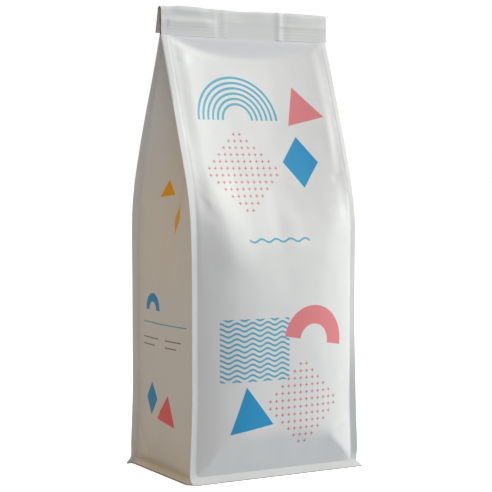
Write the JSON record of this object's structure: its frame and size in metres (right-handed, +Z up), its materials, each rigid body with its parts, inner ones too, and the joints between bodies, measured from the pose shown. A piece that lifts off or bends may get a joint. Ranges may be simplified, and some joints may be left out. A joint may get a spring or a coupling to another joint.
{
  "type": "coffee bag",
  "caption": "Filled flat-bottomed bag of coffee in white film, with sealed upright edges, side gussets and a top seal folded to the back.",
  "frame": {"origin": "middle of the base, on the surface that the bag stands on", "axes": "+Z up along the height, -Y out of the printed front, +X to the right as seen from the front"},
  "size_m": [0.146, 0.113, 0.328],
  "materials": {
    "film": "satin white film with printed shapes"
  },
  "bodies": {
    "root": {"coffee_bag": "film"}
  },
  "joints": []
}
